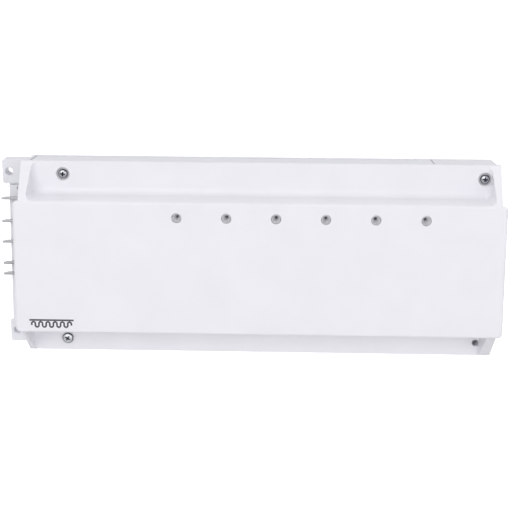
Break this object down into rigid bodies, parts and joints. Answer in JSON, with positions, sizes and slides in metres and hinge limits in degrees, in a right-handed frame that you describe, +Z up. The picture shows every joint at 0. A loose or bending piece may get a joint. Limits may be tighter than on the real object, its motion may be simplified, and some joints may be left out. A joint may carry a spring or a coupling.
{
  "type": "underfloor heating wiring centre",
  "caption": "Wall or rail mounted wiring centre for underfloor heating, with a tilted front panel of zone lamps, a screwed cover and a plug-in bus at its ends.",
  "frame": {"origin": "on the wall plane behind the housing, midway between its sides and level with its middle", "axes": "+X to the right as seen from the front, +Y into the wall, +Z up; the panel faces -Y"},
  "size_m": [0.2652, 0.0487, 0.1054],
  "materials": {
    "housing_plastic": "white ABS, fine moulded grain, faintly lavender",
    "cover_plastic": "white ABS, fine moulded grain, softly glossy",
    "strip_plastic": "white polypropylene, satin",
    "zinc_steel": "bright zinc plate, turned head and pressed cross",
    "tinned_brass": "tin plated brass, rolled, slightly dull",
    "board_laminate": "green solder mask over glass laminate",
    "green_polyamide": "green polyamide, satin",
    "grey_polyamide": "grey polyamide, satin",
    "black_epoxy": "black moulding compound",
    "blue_case": "blue case, satin",
    "film_case": "yellow film capacitor case",
    "clear_acrylic": "clear acrylic, frosted tips",
    "red_epoxy": "red diffused lamp epoxy",
    "grey_acetal": "grey acetal, satin",
    "fuse_glass": "clear glass tube"
  },
  "bodies": {
    "housing": {"rear_housing": "housing_plastic", "top_entry_strip": "strip_plastic", "bottom_entry_strip": "strip_plastic", "circuit_board": "board_laminate", "board_screw_1": "zinc_steel", "board_screw_2": "zinc_steel", "transformer": "black_epoxy", "fuse_holder": "black_epoxy", "fuse": "fuse_glass", "varistor": "blue_case", "filter_capacitor": "film_case", "smoothing_capacitor": "black_epoxy", "pump_relay": "blue_case", "boiler_relay": "blue_case", "supply_terminal": "grey_polyamide", "pump_terminal": "grey_polyamide", "thermostat_terminal_1": "green_polyamide", "thermostat_terminal_2": "green_polyamide", "thermostat_terminal_3": "green_polyamide", "thermostat_terminal_4": "green_polyamide", "thermostat_terminal_5": "green_polyamide", "thermostat_terminal_6": "green_polyamide", "actuator_terminal_1": "green_polyamide", "actuator_terminal_2": "green_polyamide", "actuator_terminal_3": "green_polyamide", "actuator_terminal_4": "green_polyamide", "actuator_terminal_5": "green_polyamide", "actuator_terminal_6": "green_polyamide", "zone_triac_1": "black_epoxy", "zone_triac_2": "black_epoxy", "zone_triac_3": "black_epoxy", "zone_triac_4": "black_epoxy", "zone_triac_5": "black_epoxy", "zone_triac_6": "black_epoxy", "microcontroller": "black_epoxy", "zone_lamp_1": "red_epoxy", "zone_lamp_2": "red_epoxy", "zone_lamp_3": "red_epoxy", "zone_lamp_4": "red_epoxy", "zone_lamp_5": "red_epoxy", "zone_lamp_6": "red_epoxy", "light_guide": "clear_acrylic", "bus_header": "black_epoxy", "bus_blade_1": "tinned_brass", "bus_blade_2": "tinned_brass", "bus_blade_3": "tinned_brass", "bus_blade_4": "tinned_brass", "bus_blade_5": "tinned_brass", "bus_socket": "black_epoxy", "selector_switch": "zinc_steel", "pairing_switch": "black_epoxy"},
    "cover": {"front_cover": "cover_plastic", "cover_screw_top_left": "zinc_steel", "cover_screw_top_right": "zinc_steel", "cover_screw_bottom_left": "zinc_steel"},
    "rail_catch_left": {"rail_catch_left": "grey_acetal"},
    "rail_catch_right": {"rail_catch_right": "grey_acetal"},
    "selector_knob": {"selector_knob": "black_epoxy"},
    "pairing_button": {"pairing_button": "grey_acetal"}
  },
  "joints": [
    {"name": "cover_lift", "type": "slide", "parent": "housing", "child": "cover", "axis": [0, -1, 0], "range_m": [0, 0.06]},
    {"name": "rail_catch_left_slide", "type": "slide", "parent": "housing", "child": "rail_catch_left", "axis": [0, 0, -1], "range_m": [0, 0.004], "stiffness_N_per_m": 600},
    {"name": "rail_catch_right_slide", "type": "slide", "parent": "housing", "child": "rail_catch_right", "axis": [0, 0, -1], "range_m": [0, 0.004], "stiffness_N_per_m": 600},
    {"name": "selector_slide", "type": "slide", "parent": "housing", "child": "selector_knob", "axis": [1, 0, 0], "range_m": [0, 0.0023]},
    {"name": "pairing_press", "type": "slide", "parent": "housing", "child": "pairing_button", "axis": [0, 0.9963, -0.0861], "range_m": [0, 0.0005], "stiffness_N_per_m": 1000}
  ]
}
